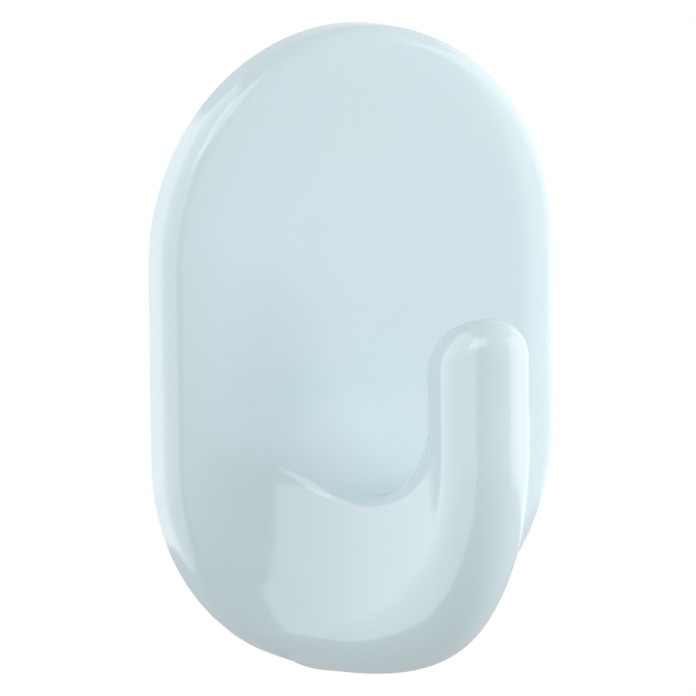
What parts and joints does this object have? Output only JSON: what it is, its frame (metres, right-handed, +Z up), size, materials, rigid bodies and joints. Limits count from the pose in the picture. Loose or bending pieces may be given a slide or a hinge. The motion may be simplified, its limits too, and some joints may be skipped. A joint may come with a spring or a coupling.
{
  "type": "adhesive wall hook",
  "caption": "Oval wall hook with a rounded upturned arm, whose cover slides up off a base plate held to the wall by a removable adhesive strip.",
  "frame": {"origin": "centre of the strip's adhesive face, which lies on the wall", "axes": "+Z up, +Y into the wall, so the hook points along -Y, and X across the hook"},
  "size_m": [0.0452, 0.0303, 0.0649],
  "materials": {
    "cover_plastic": "smooth moulded gloss",
    "base_plastic": "fine moulded matt",
    "stretch_film": "soft satin",
    "adhesive": "tacky satin",
    "tab_film": "dry satin film"
  },
  "bodies": {
    "wall_side": {"base_plate": "base_plastic", "strip_core": "stretch_film", "front_adhesive": "adhesive", "rear_adhesive": "adhesive", "tab_film_front": "tab_film", "tab_film_rear": "tab_film"},
    "cover": {"hook_cover": "cover_plastic"}
  },
  "joints": [
    {"name": "cover_slide", "type": "slide", "parent": "wall_side", "child": "cover", "axis": [0, 0, 1], "range_m": [0, 0.0065]}
  ]
}
